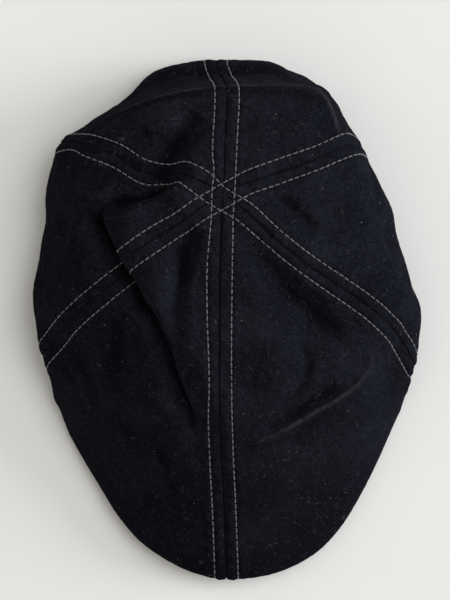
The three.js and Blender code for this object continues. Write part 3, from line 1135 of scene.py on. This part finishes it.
# Greys and near blacks of the cotton: its own colours and its dust, then painted shade with some random dark
# mottle, a painted highlight on sharp creases that is partly rubbing, and stray fibres and lint.
COTTON_DARK = (0.0016, 0.0018, 0.0028)
COTTON_LIGHT = (0.0097, 0.0103, 0.0154)
COTTON_DUSTY = (0.0118, 0.0125, 0.0177)
PAINTED_SHADE_AND_MOTTLE = (0.0008, 0.001, 0.0018)
RUBBED_AND_HIGHLIT = (0.03, 0.031, 0.036)
HAIR = (0.035, 0.036, 0.04)
LINT = (0.16, 0.16, 0.16)
HAIR_SPACINGS = (7, 9.5, 12, 15)


def cotton_finish():
    """Brushed black cotton: twill under a short nap, dusty in places, with stray fibres and lint, painted
    shade where light would fall less, and a painted highlight, partly rubbing, on its sharp creases.
    """
    cloth = Finish(
        "brushed cotton", Roughness=1.0, Specular_IOR_Level=0.0, Sheen_Weight=0.015, Sheen_Roughness=0.6,
        Sheen_Tint=(0.75, 0.8, 0.95, 1),
    )
    nap = cloth.noise(0.8, 3, 0.7)
    tone = cloth.mix(cloth.steps(nap, [(0.38, 0), (0.62, 1)]), COTTON_DARK, COTTON_LIGHT)
    dust = cloth.calculate("MULTIPLY", cloth.noise(30, 3), cloth.noise(2.6, 4, 0.65, seed=2))
    tone = cloth.mix(cloth.steps(dust, [(0.2, 0), (0.42, 0.8)]), tone, COTTON_DUSTY)
    # Painted shade, darker where light would fall less: the visor's front, steep walls, faces turned to the
    # front right and to the back, and sunken valleys. The last, random noise adds dark mottle that is the
    # cloth's own.
    for share in (
        cloth.towards_back([(-140, 0.5), (-105, 0.28), (-55, 0)]),
        cloth.facing(UP, [(0.4, 0.35), (0.88, 0.22), (0.985, 0)]),
        cloth.facing(FRONT_RIGHT, [(0.2, 0), (0.36, 0.38), (0.52, 0.05)]),
        cloth.facing(BACK, [(0.28, 0), (0.42, 0.38)]),
        cloth.wear([(-1.1, 0.94), (-0.4, 0.4), (-0.05, 0)]),
        cloth.steps(cloth.noise(12, 3, seed=5), [(0.38, 0.2), (0.56, 0)]),
    ):
        tone = cloth.mix(share, tone, PAINTED_SHADE_AND_MOTTLE)
    # A pale line in patches along the sharp creases: a painted highlight, partly the paleness of rubbing.
    patches = cloth.steps(cloth.noise(2.5, 4, 0.7), [(0.38, 0.25), (0.6, 1)])
    rub = cloth.calculate("MULTIPLY", cloth.marks("rubbed"), patches)
    tone = cloth.mix(cloth.steps(rub, [(0.1, 0), (1, 0.75)]), tone, RUBBED_AND_HIGHLIT)
    for seed, spacing in enumerate(HAIR_SPACINGS):
        tone = cloth.mix(cloth.hairs(spacing, 0.07, seed), tone, HAIR)
    tone = cloth.mix(cloth.specks(9, 0.28), tone, LINT)
    twill = cloth.bump(cloth.ribs(0.9, "DIAGONAL", 1.0), 0.5, 0.09)
    return cloth.finish(tone, cloth.bump(nap, 0.6, 0.25, twill))


def thread_finish():
    thread = Finish("topstitch thread", Roughness=0.75, Specular_IOR_Level=0.25, Sheen_Weight=0.1)
    tone = thread.steps(thread.noise(4, 2), [(0.3, (0.058, 0.06, 0.065)), (0.7, (0.1, 0.102, 0.108))])
    return thread.finish(tone, thread.bump(thread.noise(0.22, 2), 0.5, 0.1))


def satin_finish():
    satin = Finish("lining satin", Roughness=0.42, Specular_IOR_Level=0.45, Sheen_Weight=0.1, Anisotropic=0.4)
    weave = satin.calculate("MULTIPLY", satin.ribs(0.35, "X", 0.6), satin.ribs(0.3, "Y", 0.6))
    tone = satin.mix(satin.noise(18, 2), (0.012, 0.012, 0.014), (0.02, 0.02, 0.023))
    return satin.finish(tone, satin.bump(weave, 0.4, 0.05, satin.bump(satin.noise(5, 2), 0.4, 0.25)))


def tape_finish():
    """The sweatband's ribbed tape, a little worn and shiny in patches."""
    tape = Finish("sweatband tape", Specular_IOR_Level=0.3, Sheen_Weight=0.08)
    ribs = tape.ribs(0.8, "X", 0.3)
    tone = tape.mix(ribs, (0.008, 0.008, 0.009), (0.021, 0.021, 0.024))
    tone = tape.mix(tape.steps(tape.noise(9, 3), [(0.4, 0), (0.75, 0.6)]), tone, (0.034, 0.034, 0.036))
    rough = tape.steps(tape.noise(12, 3, seed=3), [(0.3, 0.62), (0.7, 0.85)])
    return tape.finish(tone, tape.bump(ribs, 0.8, 0.22, tape.bump(tape.noise(0.6, 2), 0.3, 0.1)), rough)


def label_finish():
    label = Finish("woven label", Roughness=0.62, Specular_IOR_Level=0.35, Sheen_Weight=0.15)
    weave = label.calculate("MULTIPLY", label.ribs(0.32, "X", 0.4), label.ribs(0.26, "Y", 0.4))
    tone = label.mix(weave, (0.22, 0.22, 0.215), (0.4, 0.4, 0.39))
    tone = label.mix(label.steps(label.noise(3, 3), [(0.45, 0), (0.8, 0.4)]), tone, (0.17, 0.165, 0.15))
    return label.finish(tone, label.bump(weave, 0.6, 0.08))


def board_finish():
    board = Finish("visor board", Roughness=0.45, Specular_IOR_Level=0.45)
    tone = board.mix(board.noise(22, 3), (0.55, 0.55, 0.53), (0.68, 0.68, 0.66))
    return board.finish(tone, board.bump(board.noise(0.8, 2), 0.3, 0.05))


def floor_finish():
    paper = Finish("pale floor", Roughness=0.85, Specular_IOR_Level=0.2)
    tone = paper.mix(paper.noise(110, 3), (0.655, 0.655, 0.65), (0.69, 0.69, 0.685))
    return paper.finish(tone, paper.bump(paper.noise(1.5, 3), 0.2, 0.1))


# ---------- assembly

PANEL_NAMES = ["front_left", "side_left", "back_left", "back_right", "side_right", "front_right"]
# Each row of stitches, by its seam and side: its name, and the CAD rows that it stands for.
STITCH_ROWS = {
    (0, 1): ("middle_left", "topstitch_front_fore_left", "topstitch_back_aft_left"),
    (0, -1): ("middle_right", "topstitch_front_fore_right", "topstitch_back_aft_right"),
    (1, 1): ("left_temple_upper", "topstitch_side_fore_left", "topstitch_back_fore_right"),
    (1, -1): ("left_temple_lower", "topstitch_front_aft_left", "topstitch_side_aft_right"),
    (2, 1): ("right_temple_upper", "topstitch_back_fore_left", "topstitch_side_fore_right"),
    (2, -1): ("right_temple_lower", "topstitch_side_aft_left", "topstitch_front_aft_right"),
}


def install(piece, slot, *nodes):
    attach(piece, "root")
    if nodes:
        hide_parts(*nodes)


add_camera()
add_area_light("window", (1.4, 0.7, 3.0), (0, 0, 0), 2.6, 57, (0.94, 0.97, 1.0))
add_area_light("side window", (5.6, 0.5, 1.4), (0, 0, 0.03), 3.0, 380, (0.94, 0.97, 1.0))
add_world(0.62)

cotton = cotton_finish()
thread = thread_finish()

panels = [make_panel(f"panel_{name}", seam, cotton) for seam, name in enumerate(PANEL_NAMES)]
for panel, name in zip(panels, PANEL_NAMES):
    install(panel, "crown_cloth", f"crown_panel_{name}")
crown_faces = faces_tree(panels)
for key, (name, *nodes) in STITCH_ROWS.items():
    row = make_stitches(f"stitches_{name}", [crown_row(key, crown_faces)], STITCH_PITCH, THREAD, 0.4, thread)
    install(row, "thread", *nodes)

satin = satin_finish()
ceiling = plan_ceiling()
for seam, name in enumerate(PANEL_NAMES):
    install(make_lining(f"lining_{name}", seam, satin, ceiling), "lining", f"lining_panel_{name}")
install(make_sweatband("band_tape", tape_finish()), "sweatband", "sweatband")
install(make_stitches("band_stitches", band_rows(), 3.2, 0.5, 0.3, thread), "thread")
install(make_label("blank_label", label_finish()), "label", "size_label")
install(make_stitches("label_stitches", label_rows(), 2.2, 0.35, 0.3, thread), "thread")
install(make_under_cover("visor_underside", cotton), "crown_cloth", "visor_under_cover")
bpy.data.objects["visor_board"].material_slots[0].material = board_finish()

bpy.ops.mesh.primitive_plane_add(size=16)
floor = bpy.context.object
floor.name = "floor"
floor.data.materials.append(floor_finish())
